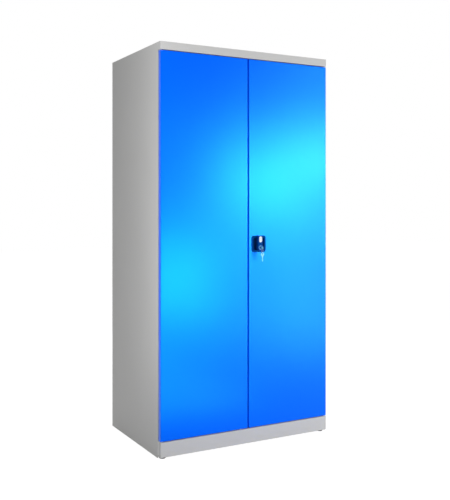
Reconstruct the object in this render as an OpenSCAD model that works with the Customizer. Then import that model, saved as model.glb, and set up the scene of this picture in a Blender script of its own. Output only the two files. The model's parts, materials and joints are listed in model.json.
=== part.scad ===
// Tool cabinet with two hinged doors, adjustable shelves and a three-point rod lock.
// X runs across the front, Y from the front to the back, Z up. The origin is on the
// floor, in the middle of the outline. Sub-parts are drawn with Y = 0 on the doors' front
// face, and in_place() moves them to the origin.

/* [Cabinet] */
// Overall width
cab_w = 900; // [600:10:1200]
// Depth from the doors' front face to the back
cab_d = 600; // [400:10:750]
// Height of the steel body, from the side panels' lower edge to the roof
body_h = 1848.5; // [1200:0.5:2200]
// Gap between the side panels' lower edge and the ground
side_lift = 1.5; // [1:0.5:6]
// Height of the glides under the plinth
glide_h = 8.5; // [7.5:0.5:20]
// Height of the header over the doors
header_h = 36; // [30:1:60]
// Height of the plinth's front face
plinth_h = 67.5; // [50:0.5:120]
// Distance from a side to each hole for fixing the back to a wall
fixing_in = 150; // [60:5:250]

/* [Sheet metal] */
// Sheet thickness
sheet_t = 1; // [0.8:0.1:1.5]
// Inside radius of the folds
fold_r = 1; // [0.5:0.1:1.2]
// Width of the side panels' front flange
side_flange = 30; // [24:1:40]
// Depth of the return behind the front flange
side_return = 15; // [8:1:20]
// Width of the flanges at the back
rear_flange = 18; // [12:1:30]
// Height of the stop lips behind the doors
lip_h = 28; // [20:1:40]

/* [Doors] */
// Door thickness
door_t = 22; // [18:0.5:28]
// Gap between the back of a door and the stop lips
stop_gap = 4; // [3:0.5:8]
// Gap above and below the doors
door_gap = 3.5; // [3:0.25:5]
// Gap between the two doors
mid_gap = 6; // [3:0.5:8]
// Step from the side panel's face to the door's outer edge
door_inset = 1; // [0.5:0.5:3]
// Return flange on the lock side
lock_return = 14; // [10:1:16]
// Return flange on the hinge side
hinge_return = 18; // [14:1:30]
// Return flange at the top and bottom
end_return = 12; // [8:1:20]
// Distance from the door's outer edge to the hinge axis
hinge_in = 7; // [6.8:0.1:8]
// Diameter of the hinge pins
pin_d = 8; // [5:0.5:10]

/* [Shelves] */
// Height of a shelf's folded edge
shelf_edge = 25; // [22:1:40]
// Distance between the slots in the uprights
slot_pitch = 50; // [40:5:100]

/* [Handle] */
// Height of the handle plate's centre above the ground
handle_z = 942; // [700:1:1200]
// Distance from the door's free edge to the handle plate
plate_in = 14.5; // [12:0.5:40]
// Width of the handle plate
plate_w = 78; // [64:1:100]
// Height of the handle plate
plate_h = 78; // [64:1:110]
// Distance from the lever's axis to the centre of its round end
lever_len = 43; // [34:1:60]
// How far the lever stands out from the door
lever_out = 18; // [14:0.5:24]

/* [Rod lock] */
// Distance from the lever's axis to the cam's drive pins
cam_r = 18; // [15:0.5:22]
// How far the cam's nose reaches past the middle of the cabinet
nose_hold = 10.5; // [6:0.5:14]
// Width of the lock rods
rod_w = 10; // [8:0.5:12]
// Thickness of the lock rods
rod_t = 2.5; // [2:0.1:3]
// Travel of the slide bolts on the other door
bolt_travel = 20; // [12:1:25]

/* [Key] */
// Diameter of the key's bow
bow_d = 18; // [16:0.5:22]
// Mean diameter of the key ring
ring_d = 24; // [20:0.5:30]

/* [Hidden] */
$fn = 48;

// Paint and materials
body_grey = [0.74, 0.74, 0.73];
door_blue = [0.00, 0.45, 0.98];
steel = [0.72, 0.73, 0.74];
chrome = [0.85, 0.86, 0.87];
navy = [0.02, 0.14, 0.30];
nylon = [0.90, 0.90, 0.86];
rubber = [0.10, 0.10, 0.11];

// Running, sliding and loose fits, taken from the radius or from each side
run_fit = 0.05;
loose_fit = 0.3;
rod_fit = 0.3;
wide_fit = 1;

// Gap where two sheets of the body meet
seam = 0.5;

// How far the tips of rods and bolts stand inside the door's end
tip_in = 0.5;

// How far a cut runs past the sheets that it opens
past = 5;

// Levels and depths
front_t = door_t + stop_gap;
top_z = side_lift + body_h;
header_z = top_z - header_h;
plinth_z = glide_h + plinth_h;
floor_z = plinth_z + lip_h + 2 * fold_r;
door_z0 = plinth_z + door_gap;
door_z1 = header_z - door_gap;
half_w = cab_w / 2;
in_w = half_w - sheet_t;
lip_w = half_w - side_flange - seam;
back_y = cab_d - 2 * sheet_t;

// Doors
door_x0 = mid_gap / 2;
door_x1 = half_w - door_inset;
hinge_x = door_x1 - hinge_in;
hinge_y = door_t / 2;
bush_d = pin_d + 3;
bush_flange_d = bush_d + 4;
bush_h = 10;
pin_grip = 12;
pin_head_d = pin_d + 6;
pin_head_t = 1.3;
pin_stem = 6;
pin_bevel = 1;

// Handle, counted in Y from the doors' front face
rod_y = door_t - rod_t - 3;
handle_x = door_x0 + plate_in + plate_w / 2;
rim_t = 2.5;
rim_r = 12;
rim_bevel = 1.2;
tub_w = plate_w - 14;
tub_h = plate_h - 14;
tub_wall = 2;
tub_r = 9;
tub_y = rod_y - 2;
hub_tail_d = 23;
axis_z = handle_z - tub_h / 2 + tub_wall + hub_tail_d / 2 + 1.5;
boss_d = 16;
boss_back = rod_y - 0.5;
boss_y = tub_y - 4;
hub_y = boss_y - 2;
spindle_head_y = hub_y - 3;
barrel_y = spindle_head_y - 2;
core_y = barrel_y - 0.5;
lever_back = 4;
arm_w = 25;
edge_r = 2;
barrel_d = 18;
core_d = 11;
core_wall = 0.8;
lock_rim_d = 21;
lock_rim_edge = 0.5;
lock_out = 1.5;
shaft_d = 8;
drive_w = 5.6;
drive_fit = 0.1;
screw_d = 4;
screw_head_d = 8;
screw_head_h = 2;
screw_head_edge = 0.8;
screw_in = 8;
nut_d = 9;
nut_h = 3;
cap_w = 16;
cap_h = 28;
cap_z = lever_len - 4;
cap_out = 2;
cap_deep = 2;
dome_r = 60;
groove_r = 14;
groove_deep = 3.5;
bush_od = 11;
bush_rim = 2;
hub_gap = 0.5;
clamp_screw_x = tub_w / 2 - 7;
clamp_screw_z = tub_h / 2 - 8;
clamp_t = 1.5;
clamp_rim = 8;
clamp_leg = 12;

// Rods and cam
nose_len = handle_x + nose_hold;
cam_y = door_t + 1.5;
cam_t = 3;
cam_rim = 6;
cam_pin_d = 5;
nose_r = 8;
swing = cam_r * sin(45);
slot_wall = 3;
rod_off = (cam_r + swing) / 2;
rod_head_w = cam_r - swing + cam_pin_d + 2 * wide_fit + 2 * slot_wall;
rod_head_h = 18;
slot_slack = 0.7;
guide_wall = 5;
guide_h = 12;
guide_r = 2;
guide_off = 110; // from the lever's axis
guide_in = 60; // from the door's end

// Slide bolts, counted from the door's end
bolt_d = 8;
bolt_x = -35;
bolt_y = door_t / 2 + 1;
ear_z = 20;
ear_t = 4;
ear_w = 22;
ear_gap = 3; // to the plane of the door's back
bolt_taper = 2;
bolt_nose = 1.5;
bolt_stem_d = 6;
bolt_knob_d = 11;
bolt_knob_y = 6;
bolt_knob_t = 8;
bolt_knob_z = ear_z + ear_t + bolt_knob_d / 2 + bolt_travel + 10.5;
far_ear_z = bolt_knob_z + 32;
bolt_len = bolt_knob_z + 50;

// Key and ring
blade_l = lever_out + lock_out + core_y - 1;
blade_h = 5.5;
key_t = 2;
cut_n = 5;
cut_d = 1.2;
cut_step = 0.5;
cut_y = 3.5;
cut_pitch = 3.2;
bow_gap = 3;
bow_y = -lever_out - lock_out - bow_gap - bow_d / 2;
hole_d = 6.5;
hole_in = hole_d / 2 + 2.5;
hole_y = bow_y - bow_d / 2 + hole_in;
ring_t = 1.2;
ring_hang = 0.9;
ring_top_z = axis_z - hole_d / 2 + ring_t / 2 + ring_hang;
ring_low_z = ring_top_z - ring_d;
spare_hole_z = ring_low_z + ring_t / 2 + ring_hang - hole_d / 2;
spare_bow_z = spare_hole_z - bow_d / 2 + hole_in;
key_reach = ring_d / 2 * cos(45) + ring_t / 2 - hole_y;
front_y = -(cab_d - key_reach) / 2;

// Glides
glide_d = 30;
glide_plug_d = 10;
glide_collar_d = 19;
glide_pad_t = 4.5;
glide_edge = 1.5;
glide_plug_h = 6;
glide_x = half_w - 22;
glide_y = 27;
rear_glide_y = cab_d - 26;

// Holes for fixing the back to a wall
fixing_x = half_w - fixing_in;
fixing_d = 9;
fixing_drop = 100;

// Buffers on the stop lips
buffer_x = handle_x + 60;
buffer_d = 10;
buffer_edge = 1.5;
buffer_gap = 0.2;

// Shelves
shelf_count = 4;
upright_d = 12;
upright_w = 30;
upright_y1 = front_t + side_return + 14;
upright_y2 = cab_d - 60 - upright_w;
upright_z0 = floor_z + sheet_t + 4;
upright_z1 = header_z - lip_h - 4;
slot_w = 16;
slot_h = 4;
slot_n = floor((upright_z1 - upright_z0 - 40) / slot_pitch);
shelf_x = in_w - upright_d - 3;
shelf_y0 = front_t + side_return + 9;
shelf_y1 = back_y - 8;
shelf_return = 12;
clip_w = 14;
clip_t = 2.5;
clip_reach = 16;
clip_hook = 3;
clip_tail = 14;
clip_tail_t = 2;

function slot_z(k) = upright_z0 + 20 + k * slot_pitch;
function shelf_slot(i) = i * round((slot_n + 1) / (shelf_count + 1)) - 1;
function shelf_z(i) = slot_z(shelf_slot(i)) - slot_h / 2 + clip_t + shelf_edge;

// ---------- Helpers ----------

// Moves a sub-part from the doors' front face to the origin's frame
module in_place() translate([0, front_y, 0]) children();

// A profile in Y and Z, drawn out along X
module along_x(x0, l) translate([x0, 0, 0]) rotate([90, 0, 90]) linear_extrude(l) children();

// A profile in X and Z, drawn out along Y from y0
module along_y(y0, l) translate([0, y0 + l, 0]) rotate([90, 0, 0]) linear_extrude(l) children();

// A profile in X and Y, drawn out along Z
module along_z(z0, l) translate([0, 0, z0]) linear_extrude(l) children();

// A round bar along Y
module bar_y(d, x, y0, y1, z) translate([x, y1, z]) rotate([90, 0, 0]) cylinder(d = d, h = y1 - y0);

// A round bar along Z
module bar_z(d, x, y, z0, z1) translate([x, y, z0]) cylinder(d = d, h = z1 - z0);

// A round bar along Z with both ends bevelled
module pin_z(d, x, y, z0, z1) translate([x, y, z0]) rotate_extrude() polygon([
    [0, 0], [d / 2 - pin_bevel, 0], [d / 2, pin_bevel], [d / 2, z1 - z0 - pin_bevel],
    [d / 2 - pin_bevel, z1 - z0], [0, z1 - z0]
]);

// A profile turned round an axis along Y, where it counts to the back from y
module turned_y(x, y, z) translate([x, y, z]) rotate([-90, 0, 0]) rotate_extrude() children();

// A box given by two opposite corners
module box(a, b) translate(a) cube(b - a);

module both_sides() {
    children();
    mirror([1, 0, 0]) children();
}

function dir(a, b) = (b - a) / norm(b - a);
function left_of(d) = [-d[1], d[0]];
function turn(a, b) = a[0] * b[1] - a[1] * b[0];
function bend(p, i) = turn(dir(p[i - 1], p[i]), dir(p[i], p[i + 1]));
function inner(p, i) = i > 0 && i < len(p) - 1;
function trim(p, i) = inner(p, i) ? fold_r + (bend(p, i) > 0 ? sheet_t : 0) : 0;

// One flat of a folded sheet, with its thickness on the left of the way from p[i] to p[i + 1]
module flat(p, i) {
    d = dir(p[i], p[i + 1]);
    n = sheet_t * left_of(d);
    a = p[i] + trim(p, i) * d;
    b = p[i + 1] - trim(p, i + 1) * d;
    polygon([a, b, b + n, a + n]);
}

// One square fold of a folded sheet, as a quarter ring
module fold(p, i) {
    d1 = dir(p[i - 1], p[i]);
    d2 = dir(p[i], p[i + 1]);
    r = fold_r + sheet_t;
    translate(p[i] + trim(p, i) * (d2 - d1)) intersection() {
        difference() {
            circle(r);
            circle(fold_r);
        }
        polygon([[0, 0], r * d1, r * (d1 - d2), -r * d2]);
    }
}

// A folded sheet seen end on, through the corners of one of its faces
module folded_sheet(p) {
    for (i = [0 : len(p) - 2]) flat(p, i);
    for (i = [1 : len(p) - 2]) fold(p, i);
}

// A rectangle whose two front corners are round
module front_rounded(x0, x1, d) {
    r = fold_r + sheet_t;
    translate([x0, r]) square([x1 - x0, d - r]);
    translate([x0 + r, 0]) square([x1 - x0 - 2 * r, r]);
    for (x = [x0 + r, x1 - r]) translate([x, r]) circle(r);
}

// A rectangle with four round corners, about its own centre
module rounded_rect(w, h, r) {
    square([w - 2 * r, h], center = true);
    square([w, h - 2 * r], center = true);
    for (x = [-1, 1], y = [-1, 1]) translate([x * (w / 2 - r), y * (h / 2 - r)]) circle(r);
}

// An upright slot with round ends, about its own centre
module stadium(w, h) {
    square([w, h - w], center = true);
    for (y = [-1, 1]) translate([0, y * (h - w) / 2]) circle(d = w);
}

// A plate with round corners in X and Z, its back on Y = 0 and its front edge bevelled
module bevelled_plate(w, h, r, t, bevel) {
    y = bevel - t;
    along_y(y, -y) rounded_rect(w, h, r);
    along_x(r - w / 2, w - 2 * r)
        polygon([[y, -h / 2], [y, h / 2], [-t, h / 2 - bevel], [-t, bevel - h / 2]]);
    along_z(r - h / 2, h - 2 * r)
        polygon([[-w / 2, y], [bevel - w / 2, -t], [w / 2 - bevel, -t], [w / 2, y]]);
    for (x = [-1, 1], z = [-1, 1]) translate([x * (w / 2 - r), -t, z * (h / 2 - r)])
        rotate([-90, 0, 0]) cylinder(r1 = r - bevel, r2 = r, h = bevel);
}

// Half of a bar's section, from its middle out, with its front edge rounded
module half_bar(w, deep, r) {
    square([w / 2 - r, deep]);
    translate([0, r]) square([w / 2, deep - r]);
    translate([w / 2 - r, r]) circle(r);
}

// ---------- Body ----------

module side_panel_shape() {
    p = [
        [-half_w + rear_flange, cab_d], [-half_w, cab_d], [-half_w, front_t],
        [-half_w + side_flange, front_t], [-half_w + side_flange, front_t + side_return]
    ];
    difference() {
        along_z(side_lift, body_h - sheet_t) folded_sheet(p);
        // the flange stops above the plinth
        box([-in_w, front_t - 1, 0], [-lip_w, front_t + side_return + 1, plinth_z]);
    }
}

module left_side_panel() color(body_grey) in_place() side_panel_shape();

module right_side_panel() color(body_grey) in_place() mirror([1, 0, 0]) side_panel_shape();

// Holes that the hinge pins, lock rods and slide bolts need in header and plinth
module frame_holes(z, level) {
    both_sides() bar_z(pin_d, hinge_x, hinge_y, z - past, z + past);
    rod_hole(handle_x + level * rod_off, z);
    bar_z(bolt_d + 2 * wide_fit, bolt_x, bolt_y, z - past, z + past);
}

module rod_hole(x, z) box(
    [x - rod_w / 2 - wide_fit, rod_y - wide_fit, z - past],
    [x + rod_w / 2 + wide_fit, rod_y + rod_t + wide_fit, z + past]);

module roof_panel() color(body_grey) in_place() {
    p = [
        [cab_d, top_z - rear_flange], [cab_d, top_z], [0, top_z], [0, header_z],
        [front_t - sheet_t, header_z]
    ];
    difference() {
        intersection() {
            union() {
                along_x(-half_w, cab_w) folded_sheet(p);
                both_sides() {
                    // the header's closed end
                    box([in_w, 0, header_z + sheet_t], [half_w, front_t, top_z - sheet_t / 2]);
                    // the flange inside the side panel
                    box([in_w - sheet_t, front_t + side_return + past, top_z - rear_flange],
                        [in_w, cab_d - rear_flange, top_z - sheet_t / 2]);
                }
            }
            along_z(0, top_z + 1) front_rounded(-half_w, half_w, cab_d);
        }
        // the rear flange stands between those of the side panels
        both_sides() box([half_w - rear_flange - seam, cab_d - fold_r - sheet_t, 0],
                         [half_w + 1, cab_d + 1, top_z - sheet_t]);
        frame_holes(header_z, -1);
    }
}

module header_rail() color(body_grey) in_place() {
    z = header_z + sheet_t;
    lip_z = header_z - lip_h;
    p = [[3 * sheet_t, z], [front_t, z], [front_t, lip_z], [front_t + side_return, lip_z]];
    difference() {
        along_x(-in_w + seam, 2 * (in_w - seam)) folded_sheet(p);
        both_sides() box([lip_w, front_t - fold_r, lip_z - 1], [half_w, cab_d, z + past]);
        frame_holes(header_z, -1);
    }
}

module plinth() color(body_grey) in_place() {
    w = half_w - door_inset;
    sill_y = front_t + 24;
    foot_y = 45;
    p = [
        [sill_y, floor_z], [front_t, floor_z], [front_t, plinth_z], [0, plinth_z],
        [0, glide_h], [foot_y, glide_h]
    ];
    difference() {
        intersection() {
            union() {
                along_x(-w, 2 * w) folded_sheet(p);
                both_sides() box([w - sheet_t, 0, glide_h + sheet_t / 2],
                                 [w, front_t, plinth_z - sheet_t / 2]);
            }
            along_z(0, top_z) front_rounded(-w, w, cab_d);
        }
        both_sides() {
            // the stop lip stands between the side panels' flanges
            box([lip_w, front_t - fold_r, plinth_z - past], [half_w, cab_d, top_z]);
            box([in_w - seam, front_t - fold_r, 0], [half_w, cab_d, top_z]);
            bar_z(glide_plug_d, glide_x, glide_y, 0, glide_h + past);
        }
        frame_holes(plinth_z, 1);
    }
}

module rear_base_rail() color(body_grey) in_place() {
    w = in_w - sheet_t - fold_r - 0.7;
    foot_y = back_y - 46;
    p = [
        [foot_y, glide_h], [back_y, glide_h], [back_y, floor_z], [back_y - rear_flange, floor_z]
    ];
    difference() {
        along_x(-w, 2 * w) folded_sheet(p);
        both_sides() bar_z(glide_plug_d, glide_x, rear_glide_y, 0, glide_h + past);
    }
}

module floor_panel() color(body_grey) in_place() {
    w = in_w - seam;
    z = floor_z + sheet_t;
    skirt = 30;
    p = [[w, z - skirt], [w, z], [-w, z], [-w, z - skirt]];
    y0 = front_t + 2;
    y1 = back_y - sheet_t;
    difference() {
        along_y(y0, y1 - y0) folded_sheet(p);
        both_sides() box([lip_w, 0, 0], [half_w, front_t + side_return + 1, top_z]);
    }
}

module back_panel() color(body_grey) in_place() {
    w = in_w - fold_r - 0.2;
    difference() {
        box([-w, back_y, glide_h], [w, back_y + sheet_t, top_z - 2 * sheet_t - fold_r]);
        both_sides() bar_y(fixing_d, fixing_x, back_y - 1, cab_d, top_z - fixing_drop);
    }
}

// A pad with a sloping upper side, a collar under the flange and a plug in its hole
module foot_glides() color(rubber) in_place() both_sides() for (y = [glide_y, rear_glide_y])
    translate([glide_x, y, 0]) rotate_extrude() polygon([
        [0, 0], [glide_d / 2 - glide_edge, 0], [glide_d / 2, glide_edge],
        [glide_d / 2, glide_pad_t - glide_edge], [glide_collar_d / 2, glide_pad_t],
        [glide_collar_d / 2, glide_h], [glide_plug_d / 2, glide_h],
        [glide_plug_d / 2, glide_h + glide_plug_h - pin_bevel],
        [glide_plug_d / 2 - pin_bevel, glide_h + glide_plug_h], [0, glide_h + glide_plug_h]
    ]);

module hinge_pins() color(steel) in_place() both_sides() {
    rail_z = header_z + 2 * sheet_t;
    pin_z(pin_d, hinge_x, hinge_y, door_z1 - pin_grip, rail_z + pin_stem);
    bar_z(pin_head_d, hinge_x, hinge_y, rail_z, rail_z + pin_head_t);
    pin_z(pin_d, hinge_x, hinge_y, plinth_z - pin_stem, door_z0 + pin_grip);
    bar_z(pin_head_d, hinge_x, hinge_y, plinth_z, plinth_z + pin_head_t);
}

module door_buffers() color(rubber) in_place() {
    low_z = door_z0 + end_return / 2;
    high_z = door_z1 - end_return / 2;
    r = buffer_d / 2;
    tip = buffer_gap - stop_gap;
    both_sides() for (z = [low_z, high_z]) turned_y(buffer_x, front_t, z) polygon([
        [0, 0], [r, 0], [r, tip + buffer_edge], [r - buffer_edge, tip], [0, tip]
    ]);
}

// ---------- Shelves and uprights ----------

module upright(y0) {
    x0 = -in_w;
    x1 = x0 + upright_d;
    p = [[x0, y0], [x1, y0], [x1, y0 + upright_w], [x0, y0 + upright_w]];
    difference() {
        along_z(upright_z0, upright_z1 - upright_z0) folded_sheet(p);
        for (k = [0 : slot_n]) translate([x1, y0 + upright_w / 2, slot_z(k)])
            cube([3 * sheet_t, slot_w, slot_h], center = true);
    }
}

module front_left_upright() color(body_grey) in_place() upright(upright_y1);
module front_right_upright() color(body_grey) in_place() mirror([1, 0, 0]) upright(upright_y1);
module rear_left_upright() color(body_grey) in_place() upright(upright_y2);
module rear_right_upright() color(body_grey) in_place() mirror([1, 0, 0]) upright(upright_y2);

module shelf(i) {
    z = shelf_z(i);
    lo = z - shelf_edge;
    p = [
        [shelf_y1 - shelf_return, lo], [shelf_y1, lo], [shelf_y1, z], [shelf_y0, z],
        [shelf_y0, lo], [shelf_y0 + shelf_return, lo]
    ];
    color(body_grey) in_place() {
        along_x(-shelf_x, 2 * shelf_x) folded_sheet(p);
        both_sides() box([shelf_x - sheet_t, shelf_y0 + sheet_t / 2, lo + sheet_t / 2],
                         [shelf_x, shelf_y1 - sheet_t / 2, z - sheet_t / 2]);
    }
}

module shelf_1() shelf(1);
module shelf_2() shelf(2);
module shelf_3() shelf(3);
module shelf_4() shelf(4);

module shelf_stiffeners() color(body_grey) in_place() for (i = [1 : shelf_count]) {
    y = (shelf_y0 + shelf_y1) / 2;
    z = shelf_z(i) - 2 * sheet_t; // its flanges lie against the shelf's underside
    half = 18;
    wing = 30;
    deep = 18;
    end_gap = 2;
    p = [
        [y - wing, z], [y - half, z], [y - half, z - deep], [y + half, z - deep],
        [y + half, z], [y + wing, z]
    ];
    along_x(end_gap - shelf_x, 2 * (shelf_x - end_gap)) folded_sheet(p);
}

module shelf_clips() color(steel) in_place() both_sides()
    for (i = [1 : shelf_count], y = [upright_y1, upright_y2]) {
        x = -in_w + upright_d;
        x2 = x + clip_tail_t;
        z = shelf_z(i) - shelf_edge;
        low = z - clip_t;
        tail = z - clip_tail;
        along_y(y + (upright_w - clip_w) / 2, clip_w) polygon([
            [x - clip_hook, low], [x, low], [x, tail], [x2, tail],
            [x2, low], [x + clip_reach, low], [x + clip_reach, z], [x - clip_hook, z]
        ]);
    }

// ---------- Doors ----------

// The pan of a door whose hinge is on the right, without its own holes
module door_pan() {
    w = door_x1 - door_x0;
    h = door_z1 - door_z0;
    lap = 10;
    across = [
        [door_x0 + lock_return, door_t], [door_x0, door_t], [door_x0, 0], [door_x1, 0],
        [door_x1, door_t], [door_x1 - hinge_return, door_t]
    ];
    top = [[door_t, door_z1 - end_return], [door_t, door_z1], [0, door_z1], [0, door_z1 - lap]];
    low = [[0, door_z0 + lap], [0, door_z0], [door_t, door_z0], [door_t, door_z0 + end_return]];
    difference() {
        intersection() {
            union() {
                along_z(door_z0, h) folded_sheet(across);
                along_x(door_x0, w) folded_sheet(top);
                along_x(door_x0, w) folded_sheet(low);
            }
            along_z(door_z0, h) front_rounded(door_x0, door_x1, door_t);
            along_x(door_x0, w) mirror([1, -1]) front_rounded(door_z0, door_z1, door_t);
        }
        for (z = [door_z0, door_z1]) bar_z(bush_d, hinge_x, hinge_y, z - past, z + past);
    }
}

// The hat-shaped bar inside a door
module door_stiffener() {
    x = (door_x0 + door_x1) / 2;
    half = 25;
    wing = 42;
    crest = door_t - 3;
    p = [
        [x - wing, sheet_t], [x - half, sheet_t], [x - half, crest],
        [x + half, crest], [x + half, sheet_t], [x + wing, sheet_t]
    ];
    end = fold_r + 2 * sheet_t;
    along_z(door_z0 + end, door_z1 - door_z0 - 2 * end) folded_sheet(p);
}

module hinge_bushes() for (end = [0, 1]) {
    z = end == 0 ? door_z0 : door_z1;
    s = end == 0 ? 1 : -1;
    flange = end == 0 ? door_gap - pin_head_t : 1.5;
    translate([hinge_x, hinge_y, z]) mirror([0, 0, end]) difference() {
        union() {
            translate([0, 0, -flange]) cylinder(d = bush_flange_d, h = flange);
            cylinder(d = bush_d, h = bush_h);
        }
        translate([0, 0, -flange - 1]) cylinder(d = pin_d + 2 * run_fit, h = flange + pin_grip + 1);
    }
}

module left_door_panel() color(door_blue) in_place() difference() {
    mirror([1, 0, 0]) door_pan();
    for (z = [door_z0, door_z1])
        bar_z(bolt_d + 2 * run_fit, bolt_x, bolt_y, z - past, z + past);
}

module left_door_stiffener() color(door_blue) in_place() mirror([1, 0, 0]) door_stiffener();

module left_hinge_bushes() color(nylon) in_place() mirror([1, 0, 0]) hinge_bushes();

// A slide bolt for the door's lower end; turned over, it serves the upper end
module slide_bolt(z) {
    r = bolt_d / 2;
    stem = bolt_stem_d / 2;
    knob = bolt_knob_d / 2;
    knob_end = bolt_knob_y + bolt_knob_t;
    bevel = pin_bevel;
    translate([bolt_x, bolt_y, z + tip_in]) rotate_extrude() polygon([
        [0, 0], [r - bolt_nose, 0], [r, bolt_taper], [r, bolt_len - bevel],
        [r - bevel, bolt_len], [0, bolt_len]
    ]);
    turned_y(bolt_x, bolt_y, z + bolt_knob_z) polygon([
        [0, 0], [stem, 0], [stem, bolt_knob_y], [knob - bevel, bolt_knob_y],
        [knob, bolt_knob_y + bevel], [knob, knob_end - bevel], [knob - bevel, knob_end],
        [0, knob_end]
    ]);
}

// The bracket that guides a slide bolt, on the inside of the door's face
module bolt_bracket(z) {
    x0 = bolt_x - ear_w / 2;
    x1 = bolt_x + ear_w / 2;
    base_t = 2;
    rim = 8;
    difference() {
        union() {
            box([x0, sheet_t, z + ear_z - rim],
                [x1, sheet_t + base_t, z + far_ear_z + ear_t + rim]);
            for (e = [ear_z, far_ear_z]) box([x0, sheet_t, z + e], [x1, door_t - ear_gap, z + e + ear_t]);
        }
        bar_z(bolt_d + 2 * run_fit, bolt_x, bolt_y, z + past, z + bolt_len + past);
    }
}

module at_top() translate([0, 0, door_z1]) mirror([0, 0, 1]) children();

module bolt_brackets() color(steel) in_place() {
    bolt_bracket(door_z0);
    at_top() bolt_bracket(0);
}

module left_top_bolt() color(steel) in_place() at_top() slide_bolt(0);
module left_bottom_bolt() color(steel) in_place() slide_bolt(door_z0);

module right_door_panel() color(door_blue) in_place() difference() {
    door_pan();
    along_y(-past, 2 * past) translate([handle_x, handle_z])
        rounded_rect(tub_w + 2 * loose_fit, tub_h + 2 * loose_fit, tub_r + loose_fit);
    rod_hole(handle_x - rod_off, door_z1);
    rod_hole(handle_x + rod_off, door_z0);
}

module right_door_stiffener() color(door_blue) in_place() door_stiffener();

module right_hinge_bushes() color(nylon) in_place() hinge_bushes();

// ---------- Handle ----------

module handle_dish() color(navy) in_place() difference() {
    union() {
        translate([handle_x, 0, handle_z])
            bevelled_plate(plate_w, plate_h, rim_r, rim_t, rim_bevel);
        along_y(-rim_t, rim_t + tub_y) translate([handle_x, handle_z])
            rounded_rect(tub_w, tub_h, tub_r);
        bar_y(boss_d, handle_x, boss_y, boss_back, axis_z);
    }
    difference() {
        along_y(-rim_t - 1, rim_t + 1 + tub_y - tub_wall) translate([handle_x, handle_z])
            rounded_rect(tub_w - 2 * tub_wall, tub_h - 2 * tub_wall, tub_r - tub_wall);
        bar_y(boss_d, handle_x, boss_y, boss_back, axis_z);
    }
    bar_y(bush_od, handle_x, 0, boss_back + 1, axis_z);
    dish_holes(-1, tub_y + 1);
}

// Screws go through the dish's floor at two corners, clear of the rods
module dish_holes(y0, y1) for (s = [-1, 1])
    bar_y(screw_d + 2 * loose_fit, handle_x + s * clamp_screw_x, y0, y1, handle_z - s * clamp_screw_z);

module dish_clamp() color(steel) in_place() difference() {
    wall = tub_w / 2 + loose_fit;
    union() {
        // the frame that grips the door's face from behind
        along_y(sheet_t, clamp_t) translate([handle_x, handle_z]) difference() {
            rounded_rect(tub_w + 2 * clamp_rim, tub_h + 2 * clamp_rim, rim_r);
            rounded_rect(tub_w + 2 * loose_fit, tub_h + 2 * loose_fit, tub_r + loose_fit);
        }
        // two legs that fold in behind the dish's floor, for the screws
        for (turned = [0, 180]) translate([handle_x, 0, handle_z]) rotate([0, turned, 0]) {
            z0 = clamp_screw_z - clamp_leg / 2;
            z1 = clamp_screw_z + clamp_leg / 2;
            end_x = screw_d / 2 + clamp_t * 2 - clamp_screw_x;
            box([-wall - clamp_t, sheet_t, z0], [-wall, tub_y + clamp_t, z1]);
            box([-wall - clamp_t, tub_y, z0], [end_x, tub_y + clamp_t, z1]);
        }
    }
    dish_holes(tub_y - 1, tub_y + past);
}

module dish_screws() color(steel) in_place() for (s = [-1, 1]) {
    r = screw_d / 2;
    head_r = screw_head_d / 2;
    edge = screw_head_edge;
    h = screw_head_h;
    end = h + tub_wall + clamp_t;
    turned_y(handle_x + s * clamp_screw_x, tub_y - tub_wall - h, handle_z - s * clamp_screw_z)
        polygon([
            [0, 0], [head_r - edge, 0], [head_r, edge], [head_r, h], [r, h], [r, end], [0, end]
        ]);
}

module spindle_bush() color(nylon) in_place() difference() {
    union() {
        bar_y(bush_od + 2 * bush_rim, handle_x, hub_y + hub_gap, boss_y, axis_z);
        bar_y(bush_od, handle_x, boss_y, boss_back, axis_z);
    }
    bar_y(shaft_d + 2 * run_fit, handle_x, 0, boss_back + 1, axis_z);
}

module lever_handle() color(navy) in_place() {
    deep = lever_out - lever_back;
    difference() {
        union() {
            for (z = [0, lever_len])
                turned_y(handle_x, -lever_out, axis_z + z) half_bar(arm_w, deep, edge_r);
            along_z(axis_z, lever_len) translate([handle_x, -lever_out]) {
                half_bar(arm_w, deep, edge_r);
                mirror([1, 0]) half_bar(arm_w, deep, edge_r);
            }
            bar_y(hub_tail_d, handle_x, -lever_back - 1, hub_y, axis_z);
        }
        bar_y(barrel_d + 2 * run_fit, handle_x, -lever_out - past, spindle_head_y, axis_z);
        bar_y(shaft_d + 2 * run_fit, handle_x, 0, hub_y + 1, axis_z);
        along_y(-lever_out - 1, 1 + cap_deep) translate([handle_x, axis_z + cap_z])
            stadium(cap_w - 2, cap_h - 2);
        // finger groove behind the arm
        translate([handle_x, groove_r - groove_deep - lever_back, axis_z + lever_len])
            rotate([0, 90, 0]) cylinder(r = groove_r, h = 2 * arm_w, center = true);
    }
}

module thumb_cap() color(chrome) in_place() intersection() {
    lap = 0.5;
    translate([handle_x, dome_r - lever_out - cap_out, axis_z + cap_z]) sphere(dome_r, $fn = 240);
    union() {
        along_y(-lever_out - cap_out, cap_out) translate([handle_x, axis_z + cap_z])
            stadium(cap_w, cap_h);
        along_y(-lever_out - lap, lap + cap_deep) translate([handle_x, axis_z + cap_z])
            stadium(cap_w - 2, cap_h - 2);
    }
}

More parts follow.
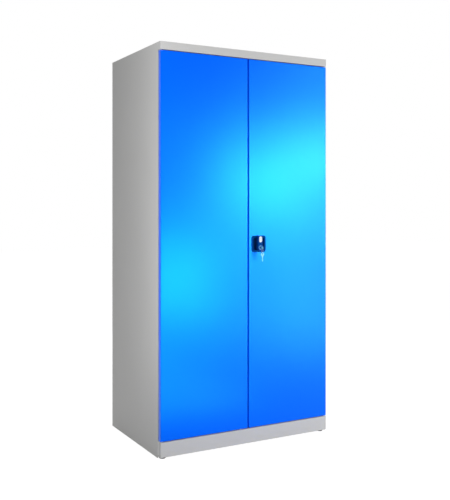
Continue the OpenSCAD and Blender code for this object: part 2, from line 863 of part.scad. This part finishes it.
module lock_cylinder() color(chrome) in_place() difference() {
    r = lock_rim_d / 2;
    end = lock_out + lever_out + barrel_y;
    turned_y(handle_x, -lever_out - lock_out, axis_z) polygon([
        [0, 0], [r - lock_rim_edge, 0], [r, lock_rim_edge], [r, lock_out],
        [barrel_d / 2, lock_out], [barrel_d / 2, end], [0, end]
    ]);
    bar_y(core_d + 2 * run_fit, handle_x, -lever_out - past, barrel_y + 1, axis_z);
}

module lock_core() color(chrome) in_place() difference() {
    bar_y(core_d, handle_x, -lever_out - lock_out, core_y, axis_z);
    box([handle_x - key_t / 2 - loose_fit, -lever_out - past, axis_z - blade_h / 2 - loose_fit],
        [handle_x + key_t / 2 + loose_fit, core_y - core_wall, axis_z + blade_h / 2 + loose_fit]);
}

module spindle() color(steel) in_place() difference() {
    union() {
        bar_y(barrel_d, handle_x, barrel_y, spindle_head_y, axis_z);
        bar_y(shaft_d, handle_x, spindle_head_y, cam_y, axis_z);
        translate([handle_x, cam_y, axis_z]) cube([drive_w, 2 * cam_t, drive_w], center = true);
    }
    bar_y(screw_d, handle_x, cam_y - screw_in, cam_y + cam_t + 1, axis_z);
}

module cam_plate() color(steel) in_place() along_y(cam_y, cam_t)
    translate([handle_x, axis_z]) difference() {
        union() {
            circle(cam_r + cam_rim);
            translate([-nose_r, nose_r - nose_len]) square([2 * nose_r, nose_len - nose_r]);
            translate([0, nose_r - nose_len]) circle(nose_r);
        }
        square(drive_w + 2 * drive_fit, center = true);
        for (s = [-1, 1]) translate([s * swing, s * swing]) circle(d = cam_pin_d);
    }

module cam_pins() color(steel) in_place() for (s = [-1, 1])
    bar_y(cam_pin_d, handle_x + s * swing, rod_y - loose_fit, cam_y + cam_t, axis_z + s * swing);

module cam_screw() color(steel) in_place() {
    y = cam_y + cam_t;
    translate([handle_x, y + nut_h, axis_z]) rotate([90, 0, 0])
        cylinder(d = nut_d, h = nut_h, $fn = 6);
    bar_y(screw_d, handle_x, cam_y - screw_in, y, axis_z);
}

// ---------- Lock rods ----------

// A rod drawn for the lower end: its head takes the cam pin, its tip stands in the door's end
module lock_rod(pin_z, tip_z) {
    tip = 6;
    along_y(rod_y, rod_t) difference() {
        union() {
            translate([-rod_w / 2, tip_z + tip]) square([rod_w, pin_z - tip_z - tip]);
            polygon([[-rod_w / 2, tip_z + tip], [-rod_w / 2 + 2, tip_z], [rod_w / 2 - 2, tip_z],
                     [rod_w / 2, tip_z + tip]]);
            translate([0, pin_z]) square([rod_head_w, rod_head_h], center = true);
        }
        translate([0, pin_z])
            square([rod_head_w - 2 * slot_wall, cam_pin_d + 2 * slot_slack], center = true);
    }
}

module bottom_rod() color(steel) in_place() translate([handle_x + rod_off, 0, 0])
    lock_rod(axis_z + swing, door_z0 + tip_in);

module top_rod() color(steel) in_place() translate([handle_x - rod_off, 0, axis_z]) mirror([0, 0, 1])
    lock_rod(swing, -(door_z1 - tip_in - axis_z));

module rod_guides() color(nylon) in_place() for (s = [-1, 1]) {
    x = handle_x + s * rod_off;
    near = axis_z - s * guide_off;
    far = s < 0 ? door_z1 - guide_in : door_z0 + guide_in;
    deep = door_t - sheet_t;
    for (z = [near, far]) along_z(z - guide_h / 2, guide_h) difference() {
        translate([x, sheet_t + deep / 2]) rounded_rect(rod_w + 2 * guide_wall, deep, guide_r);
        translate([x - rod_w / 2 - rod_fit, rod_y - rod_fit])
            square([rod_w + 2 * rod_fit, rod_t + 2 * rod_fit]);
    }
}

// ---------- Key, ring and spare key ----------

// A key lying on the X-Y plane, its bow's centre at the origin and its blade pointing along Y
module key_shape() difference() {
    bow_r = bow_d / 2;
    h = blade_h / 2;
    point = 2.2;
    blade_y = bow_r + bow_gap + blade_l;
    // the shoulders leave the bow nearly on its tangents and end short of the lock
    slope = 60;
    shoulder_y = bow_r + bow_gap - 0.6;
    side_x = (bow_r - 0.2) * sin(slope);
    side_y = (bow_r - 0.2) * cos(slope);
    shoulder_x = side_x - (shoulder_y - side_y) / tan(slope);
    union() {
        cylinder(r = bow_r, h = key_t);
        linear_extrude(key_t) polygon([
            [-side_x, side_y], [-shoulder_x, shoulder_y], [-h, shoulder_y],
            [-h, blade_y - point], [point - h, blade_y], [h - point, blade_y],
            [h, blade_y - point], [h, shoulder_y], [shoulder_x, shoulder_y], [side_x, side_y]
        ]);
    }
    translate([0, hole_in - bow_r, -1]) cylinder(d = hole_d, h = key_t + 2);
    // the groove along the blade's side
    groove = [1.2, blade_l + past, 0.5];
    groove_x = 0.4;
    translate([groove_x, shoulder_y, key_t - groove[2]]) cube(groove + [0, 0, 1]);
    // cuts of three depths
    for (k = [0 : cut_n - 1]) {
        cut = cut_d + cut_step * (2 * k % 3);
        translate([-h, bow_r + bow_gap + cut_y + cut_pitch * k, key_t / 2])
            rotate(45) cube([cut, cut, key_t + 2], center = true);
    }
}

module key() color(chrome) in_place() translate([handle_x - key_t / 2, bow_y, axis_z])
    rotate([90, 0, 90]) rotate(-90) key_shape();

module key_ring() color(steel) in_place() translate([handle_x, hole_y, ring_top_z - ring_d / 2])
    rotate([0, 0, 45]) rotate([90, 0, 0]) rotate_extrude() translate([ring_d / 2, 0]) circle(d = ring_t);

module spare_key() color(chrome) in_place() translate([handle_x, hole_y - key_t / 2, spare_bow_z])
    mirror([0, 0, 1]) translate([0, key_t, 0]) rotate([90, 0, 0]) key_shape();

// ---------- Assembly ----------

left_side_panel();
right_side_panel();
roof_panel();
header_rail();
plinth();
rear_base_rail();
floor_panel();
back_panel();
foot_glides();
hinge_pins();
door_buffers();
front_left_upright();
front_right_upright();
rear_left_upright();
rear_right_upright();
shelf_1();
shelf_2();
shelf_3();
shelf_4();
shelf_stiffeners();
shelf_clips();
left_door_panel();
left_door_stiffener();
left_hinge_bushes();
bolt_brackets();
left_top_bolt();
left_bottom_bolt();
right_door_panel();
right_door_stiffener();
right_hinge_bushes();
handle_dish();
dish_clamp();
dish_screws();
spindle_bush();
rod_guides();
top_rod();
bottom_rod();
lever_handle();
thumb_cap();
lock_cylinder();
spindle();
cam_plate();
cam_pins();
cam_screw();
lock_core();
key();
key_ring();
spare_key();
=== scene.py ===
import json
import math

import bpy
from mathutils import Matrix, Vector


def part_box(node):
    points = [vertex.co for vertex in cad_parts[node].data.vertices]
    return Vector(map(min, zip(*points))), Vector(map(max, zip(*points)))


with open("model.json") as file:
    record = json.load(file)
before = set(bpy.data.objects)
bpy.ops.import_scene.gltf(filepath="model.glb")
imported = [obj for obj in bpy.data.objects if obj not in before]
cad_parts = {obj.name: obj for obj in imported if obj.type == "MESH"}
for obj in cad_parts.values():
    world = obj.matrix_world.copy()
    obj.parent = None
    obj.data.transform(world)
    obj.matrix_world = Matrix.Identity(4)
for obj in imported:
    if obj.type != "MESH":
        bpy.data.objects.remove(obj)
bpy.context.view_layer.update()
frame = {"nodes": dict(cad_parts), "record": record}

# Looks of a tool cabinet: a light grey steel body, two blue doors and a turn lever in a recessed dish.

bpy.ops.object.select_all(action="DESELECT")

# ---------- Camera, as the photograph was taken ----------

# Lengths here and below are in metres, apart from the lens and its sensor
CAMERA_PLACE = (-1.820, -3.353, 1.126)
VIEW_ANGLE = 28.87  # degrees that the view turns from straight ahead
LENS = 54.8  # mm
SENSOR = 36  # mm, along the picture's long side
IMAGE_W, IMAGE_H = 450, 500
HORIZON_ROW = 204.9  # row of the picture at the camera's own height
FARTHEST_SEEN = 50
DOOR_FACE_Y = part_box("left_door_panel")[0].y
BOX_DISTANCE = 2.4  # from the doors to the softboxes that they mirror

camera_data = bpy.data.cameras.new("camera")
camera_data.lens = LENS
camera_data.sensor_width = SENSOR
camera_data.sensor_fit = "AUTO"
camera_data.shift_y = (HORIZON_ROW - IMAGE_H / 2) / IMAGE_H
camera_data.clip_end = FARTHEST_SEEN
camera = bpy.data.objects.new("camera", camera_data)
camera.location = CAMERA_PLACE
camera.rotation_euler = (math.radians(90), 0, -math.radians(VIEW_ANGLE))
bpy.context.scene.collection.objects.link(camera)
bpy.context.scene.camera = camera

# ---------- Shader helpers ----------


class Value:
    """A number that varies over a surface. A sum or product of it adds a Math node."""

    def __init__(self, finish, socket):
        self.finish = finish
        self.socket = socket

    def maths(self, operation, *values):
        return Value(self.finish, self.finish.node("ShaderNodeMath", {"operation": operation}, *values))

    def __add__(self, other):
        return self.maths("ADD", self, other)

    def __mul__(self, other):
        return self.maths("MULTIPLY", self, other)

    __radd__ = __add__
    __rmul__ = __mul__

    def clamped(self, low, high):
        return self.maths("MINIMUM", self.maths("MAXIMUM", self, low), high)


class Finish:
    """A material round one Principled shader, built node by node."""

    def __init__(self, name, constants):
        self.material = bpy.data.materials.new(name)
        self.material.use_nodes = True
        self.tree = self.material.node_tree
        self.shader = self.tree.nodes["Principled BSDF"]
        for socket, value in constants.items():
            self.shader.inputs[socket].default_value = value
        self.place = self.node("ShaderNodeTexCoord", {}, out="Object")

    def node(self, kind, settings, *values, out=0, **named):
        """Adds a node. Its settings are set first, then its inputs; returns one output socket."""
        node = self.tree.nodes.new(kind)
        for name, setting in settings.items():
            setattr(node, name, setting)
        for i, value in enumerate(values):
            self.feed(node.inputs[i], value)
        for name, value in named.items():
            self.feed(node.inputs[name.replace("_", " ")], value)
        return node.outputs[out]

    def feed(self, socket, value):
        if isinstance(value, Value):
            value = value.socket
        if isinstance(value, bpy.types.NodeSocket):
            self.tree.links.new(value, socket)
        else:
            socket.default_value = value

    def noise(self, grain, detail=2.0):
        """Noise of about 0 to 1 whose patches are about that many metres across."""
        inputs = {"Vector": self.place, "Scale": 1 / grain, "Detail": detail}
        return Value(self, self.node("ShaderNodeTexNoise", {}, **inputs))

    def mix(self, factor, a, b):
        settings = {"data_type": "RGBA", "blend_type": "MIX", "clamp_factor": True}
        node = self.tree.nodes.new("ShaderNodeMix")
        for name, setting in settings.items():
            setattr(node, name, setting)
        sockets = [s for s in node.inputs if s.enabled]
        for socket, value in zip(sockets, (factor, a, b)):
            self.feed(socket, value)
        return [s for s in node.outputs if s.enabled][0]

    def bump(self, height, depth, below=None):
        """A relief of that depth in metres, over the one below it."""
        inputs = {"Height": height, "Distance": depth, "Strength": 1.0}
        if below is not None:
            inputs["Normal"] = below
        return self.node("ShaderNodeBump", {}, **inputs)

    def out(self, **channels):
        for name, value in channels.items():
            self.feed(self.shader.inputs[name.replace("_", " ")], value)
        return self.material


def srgb(r, g, b):
    """A colour given in the 0 to 255 values of a picture, as linear light."""
    shares = (r / 255, g / 255, b / 255)
    linear = [v / 12.92 if v <= 0.04045 else ((v + 0.055) / 1.055) ** 2.4 for v in shares]
    return (*linear, 1.0)


# ---------- Finishes ----------


def grey_powder_coat():
    f = Finish("grey_powder_coat", {"IOR": 1.5, "Specular IOR Level": 0.4})
    peel = f.noise(grain=0.0016, detail=3.0)
    cloud = f.noise(grain=0.35, detail=2.0)
    speck = f.noise(grain=0.0007, detail=1.0)
    shade = (cloud * 0.6 + speck * 0.4).clamped(0.0, 1.0)
    colour = f.mix(shade, srgb(190, 190, 189), srgb(202, 202, 201))
    relief = f.bump(peel, depth=0.00006)
    return f.out(Base_Color=colour, Roughness=peel * 0.15 + 0.42, Normal=relief)


def blue_gloss_paint():
    tint = (0.0, 0.9, 1.0, 1.0)
    f = Finish("blue_gloss_paint", {"IOR": 1.5, "Specular IOR Level": 0.6, "Specular Tint": tint})
    wave = f.noise(grain=0.55, detail=1.0)
    dent = f.noise(grain=0.16, detail=1.0)
    peel = f.noise(grain=0.0020, detail=2.0)
    colour = f.mix(wave, srgb(0, 80, 252), srgb(0, 90, 255))
    sheet = f.bump(wave * 0.8 + dent * 0.2, depth=0.0030)
    relief = f.bump(peel, depth=0.00003, below=sheet)
    return f.out(Base_Color=colour, Roughness=peel * 0.05 + 0.26, Normal=relief)


def zinc_plate():
    f = Finish("zinc_plate", {"Metallic": 1.0})
    spangle = f.noise(grain=0.004, detail=2.0)
    colour = f.mix(spangle, srgb(158, 162, 166), srgb(192, 194, 197))
    return f.out(Base_Color=colour, Roughness=spangle * 0.2 + 0.25, Normal=f.bump(spangle, depth=0.00002))


def bright_chrome():
    f = Finish("bright_chrome", {"Metallic": 1.0})
    haze = f.noise(grain=0.003, detail=2.0)
    colour = f.mix(haze, srgb(222, 232, 240), srgb(238, 246, 252))
    return f.out(Base_Color=colour, Roughness=haze * 0.08 + 0.12, Normal=f.bump(haze, depth=0.000008))


def nickel_with_painted_reflection():
    """The lock's cylinder. Its bluish colour is a painted reflection of the doors."""
    f = Finish("nickel_with_painted_reflection", {"Metallic": 1.0})
    haze = f.noise(grain=0.002, detail=2.0)
    colour = f.mix(haze, srgb(104, 150, 202), srgb(126, 172, 222))
    return f.out(Base_Color=colour, Roughness=haze * 0.1 + 0.2, Normal=f.bump(haze, depth=0.000008))


def nickel_with_painted_shade_and_reflection():
    """The lock's core, with the painted shade of its cylinder's hollow and a bluish painted reflection of
    the doors.
    """
    f = Finish("nickel_with_painted_shade_and_reflection", {"Metallic": 1.0})
    haze = f.noise(grain=0.002, detail=2.0)
    colour = f.mix(haze, srgb(34, 74, 118), srgb(52, 96, 142))
    return f.out(Base_Color=colour, Roughness=haze * 0.1 + 0.25, Normal=f.bump(haze, depth=0.000008))


def key_nickel_with_painted_reflection():
    f = Finish("key_nickel_with_painted_reflection", {"Metallic": 1.0})
    haze = f.noise(grain=0.002, detail=2.0)
    # The keys' pale cyan colour is a painted reflection of the blue doors on their nickel.
    colour = f.mix(haze, srgb(140, 222, 246), srgb(164, 238, 253))
    return f.out(Base_Color=colour, Roughness=haze * 0.1 + 0.2, Normal=f.bump(haze, depth=0.000008))


def navy_plastic():
    tint = (0.0, 0.3, 1.0, 1.0)
    f = Finish("navy_plastic", {"IOR": 1.5, "Specular IOR Level": 0.5, "Specular Tint": tint})
    grain = f.noise(grain=0.0004, detail=2.0)
    cloud = f.noise(grain=0.02, detail=2.0)
    colour = f.mix(cloud, srgb(0, 58, 130), srgb(0, 70, 146))
    return f.out(Base_Color=colour, Roughness=grain * 0.15 + 0.35, Normal=f.bump(grain, depth=0.00003))


def white_nylon():
    f = Finish("white_nylon", {"IOR": 1.53})
    cloud = f.noise(grain=0.004, detail=2.0)
    colour = f.mix(cloud, srgb(222, 221, 212), srgb(236, 235, 228))
    return f.out(Base_Color=colour, Roughness=cloud * 0.15 + 0.4, Normal=f.bump(cloud, depth=0.00003))


def black_rubber():
    f = Finish("black_rubber", {"IOR": 1.5, "Specular IOR Level": 0.3})
    grain = f.noise(grain=0.0006, detail=3.0)
    colour = f.mix(grain, srgb(58, 58, 60), srgb(84, 84, 86))
    return f.out(Base_Color=colour, Roughness=grain * 0.2 + 0.65, Normal=f.bump(grain, depth=0.00005))


FINISHES = {
    "body_paint": grey_powder_coat(),
    "door_paint": blue_gloss_paint(),
    "zinc_steel": zinc_plate(),
    "bright_chrome": bright_chrome(),
    "navy_plastic": navy_plastic(),
    "white_nylon": white_nylon(),
    "black_rubber": black_rubber(),
}

LOCK_FINISHES = {"lock_cylinder": nickel_with_painted_reflection(), "lock_core": nickel_with_painted_shade_and_reflection(), "key": key_nickel_with_painted_reflection()}
LOCK_FINISHES["spare_key"] = LOCK_FINISHES["key"]

for part in frame["record"]["subparts"]:
    mesh = frame["nodes"][part["node"]].data
    mesh.materials.clear()
    mesh.materials.append(LOCK_FINISHES.get(part["node"], FINISHES[part["material_slot"]]))

# ---------- Floor and light ----------

FLOOR_SIZE = 30
FLOOR_GREY = 0.86  # colour of the floor's matt share, which takes the shadow
FLOOR_WHITE = 1.2  # strength of its glowing share, which shows and lights nothing
FLOOR_GLOW = 0.8  # how much of it glows; the two shares together render as white
AMBIENT = 0.265  # strength of the world's light on the surfaces
SEEN_WHITE = ("Is Camera Ray", "Is Glossy Ray", "Is Transmission Ray")


def any_of(tree, *flags):
    """One socket that is 1 where any of those flags of the light path is."""
    path = tree.nodes.new("ShaderNodeLightPath")
    socket = path.outputs[flags[0]]
    for flag in flags[1:]:
        either = tree.nodes.new("ShaderNodeMath")
        either.operation = "MAXIMUM"
        tree.links.new(socket, either.inputs[0])
        tree.links.new(path.outputs[flag], either.inputs[1])
        socket = either.outputs[0]
    return socket


def white_floor():
    material = bpy.data.materials.new("white_floor")
    material.use_nodes = True
    tree = material.node_tree
    tree.nodes.clear()
    matt = tree.nodes.new("ShaderNodeBsdfDiffuse")
    matt.inputs["Color"].default_value = (FLOOR_GREY, FLOOR_GREY, FLOOR_GREY, 1)
    white = tree.nodes.new("ShaderNodeEmission")
    white.inputs["Strength"].default_value = FLOOR_WHITE
    seen = tree.nodes.new("ShaderNodeMath")
    seen.operation = "MULTIPLY"
    seen.inputs[1].default_value = FLOOR_GLOW
    tree.links.new(any_of(tree, *SEEN_WHITE), seen.inputs[0])
    mix = tree.nodes.new("ShaderNodeMixShader")
    tree.links.new(seen.outputs[0], mix.inputs[0])
    tree.links.new(matt.outputs[0], mix.inputs[1])
    tree.links.new(white.outputs[0], mix.inputs[2])
    out = tree.nodes.new("ShaderNodeOutputMaterial")
    tree.links.new(mix.outputs[0], out.inputs[0])
    return material


def softbox(name, place, aim, width, height, radiance, mirrored=False):
    """A white area lamp of that many metres whose face is that bright; 1 is plain white.

    A mirrored one only shows in the doors' gloss, and the others only light the surfaces.
    """
    data = bpy.data.lights.new(name, "AREA")
    data.shape = "RECTANGLE"
    data.size = width
    data.size_y = height
    data.energy = radiance * width * height * math.pi
    lamp = bpy.data.objects.new(name, data)
    lamp.location = place
    lamp.rotation_euler = (Vector(aim) - Vector(place)).to_track_quat("-Z", "Y").to_euler()
    lamp.visible_camera = False
    lamp.visible_diffuse = not mirrored
    lamp.visible_glossy = mirrored
    if mirrored:
        lamp.light_linking.receiver_collection = doors
    bpy.context.scene.collection.objects.link(lamp)


def door_point(column, row):
    """The place on the doors' front that the camera sees at that column and row of the picture."""
    focal = LENS / SENSOR * IMAGE_H
    turn = Matrix.Rotation(-math.radians(VIEW_ANGLE), 3, "Z")
    ray = turn @ Vector((column - IMAGE_W / 2, focal, HORIZON_ROW - row))
    eye = Vector(CAMERA_PLACE)
    return eye + ray * ((DOOR_FACE_Y - eye.y) / ray.y)


def mirrored_softbox(name, columns, rows, radiance):
    """A softbox whose reflection in the doors fills about those columns and rows of the picture."""
    spot = door_point(sum(columns) / 2, sum(rows) / 2)
    left = door_point(columns[0], sum(rows) / 2)
    right = door_point(columns[1], sum(rows) / 2)
    upper = door_point(sum(columns) / 2, rows[0])
    lower = door_point(sum(columns) / 2, rows[1])
    away = spot - Vector(CAMERA_PLACE)
    spread = 1 + BOX_DISTANCE / away.length
    away.y = -away.y
    place = spot + away.normalized() * BOX_DISTANCE
    width = (right - left).length * spread * abs(away.normalized().y)
    height = (upper - lower).length * spread
    softbox(name, place, spot, width, height, radiance, mirrored=True)


bpy.ops.mesh.primitive_plane_add(size=FLOOR_SIZE, location=(0, 0, 0))
floor = bpy.context.object
floor.name = "floor"
floor.data.materials.append(white_floor())

doors = bpy.data.collections.new("doors")  # all that the mirrored softboxes show in
for name in ("left_door_panel", "right_door_panel"):
    doors.objects.link(frame["nodes"][name])

# Columns and rows of the picture that each box's reflection in the doors fills, about
UPPER_BOX_COLUMNS = (222, 345)
UPPER_BOX_ROWS = (114, 236)
LOWER_BOX_COLUMNS = (140, 208)
LOWER_BOX_ROWS = (248, 312)
LEFT_BROAD_BOX_COLUMNS = (110, 238)
LEFT_BROAD_BOX_ROWS = (216, 390)
RIGHT_BROAD_BOX_COLUMNS = (256, 345)
RIGHT_BROAD_BOX_ROWS = (206, 394)
EDGE_BOX_COLUMNS = (300, 345)
EDGE_BOX_ROWS = (40, 230)
LEFT_GLINT_COLUMNS = (234, 288)
LEFT_GLINT_ROWS = (152, 208)
LEFT_CORE_COLUMNS = (248, 276)
LEFT_CORE_ROWS = (174, 196)
RIGHT_GLINT_COLUMNS = (302, 340)
RIGHT_GLINT_ROWS = (128, 196)
RIGHT_CORE_COLUMNS = (308, 328)
RIGHT_CORE_ROWS = (140, 176)

mirrored_softbox("upper_box", UPPER_BOX_COLUMNS, UPPER_BOX_ROWS, radiance=4.3)
mirrored_softbox("lower_box", LOWER_BOX_COLUMNS, LOWER_BOX_ROWS, radiance=21.0)
mirrored_softbox("left_broad_box", LEFT_BROAD_BOX_COLUMNS, LEFT_BROAD_BOX_ROWS, radiance=3.3)
mirrored_softbox("right_broad_box", RIGHT_BROAD_BOX_COLUMNS, RIGHT_BROAD_BOX_ROWS, radiance=9.0)
mirrored_softbox("edge_box", EDGE_BOX_COLUMNS, EDGE_BOX_ROWS, radiance=6.2)
mirrored_softbox("left_glint", LEFT_GLINT_COLUMNS, LEFT_GLINT_ROWS, radiance=25.0)
mirrored_softbox("left_core", LEFT_CORE_COLUMNS, LEFT_CORE_ROWS, radiance=9.0)
mirrored_softbox("right_glint", RIGHT_GLINT_COLUMNS, RIGHT_GLINT_ROWS, radiance=10.5)
mirrored_softbox("right_core", RIGHT_CORE_COLUMNS, RIGHT_CORE_ROWS, radiance=48.0)

LOW_GLOW_PLACE = (-0.1, -1.7, 0.02)
LOW_GLOW_AIM = (-0.1, -1.7, 1.0)
softbox("low_glow", LOW_GLOW_PLACE, LOW_GLOW_AIM, width=1.0, height=1.7, radiance=4.6, mirrored=True)

FRONT_LAMP_PLACE = (1.2, -3.0, 1.2)
FRONT_LAMP_AIM = (0, -0.3, 1.2)
SIDE_STRIP_PLACE = (-0.78, -0.46, 1.3)
SIDE_STRIP_AIM = (-0.45, 0, 1.3)
BACK_LAMP_PLACE = (0.9, 3.0, 1.3)
BACK_LAMP_AIM = (0, 0.3, 1.0)
RIGHT_LAMP_PLACE = (3.2, 0.3, 1.3)
RIGHT_LAMP_AIM = (0.45, 0, 1.0)
ROOF_LAMP_PLACE = (0, 0, 4.2)
ROOF_LAMP_AIM = (0, 0, 1.85)
softbox("front_lamp", FRONT_LAMP_PLACE, FRONT_LAMP_AIM, width=1.2, height=1.2, radiance=13.0)
softbox("side_strip", SIDE_STRIP_PLACE, SIDE_STRIP_AIM, width=0.3, height=2.0, radiance=1.8)
softbox("back_lamp", BACK_LAMP_PLACE, BACK_LAMP_AIM, width=1.4, height=1.4, radiance=7.0)
softbox("right_lamp", RIGHT_LAMP_PLACE, RIGHT_LAMP_AIM, width=1.2, height=1.4, radiance=4.0)
softbox("roof_lamp", ROOF_LAMP_PLACE, ROOF_LAMP_AIM, width=1.2, height=1.2, radiance=6.0)

world = bpy.data.worlds.new("studio")
bpy.context.scene.world = world
world.use_nodes = True
tree = world.node_tree
tree.nodes.clear()
ambient = tree.nodes.new("ShaderNodeBackground")
ambient.inputs["Color"].default_value = (1, 1, 1, 1)
ambient.inputs["Strength"].default_value = AMBIENT
white = tree.nodes.new("ShaderNodeBackground")
white.inputs["Color"].default_value = (1, 1, 1, 1)
white.inputs["Strength"].default_value = 1.0
mix = tree.nodes.new("ShaderNodeMixShader")
tree.links.new(any_of(tree, *SEEN_WHITE), mix.inputs[0])
tree.links.new(ambient.outputs[0], mix.inputs[1])
tree.links.new(white.outputs[0], mix.inputs[2])
out = tree.nodes.new("ShaderNodeOutputWorld")
tree.links.new(mix.outputs[0], out.inputs[0])

bpy.context.scene.view_settings.view_transform = "Standard"
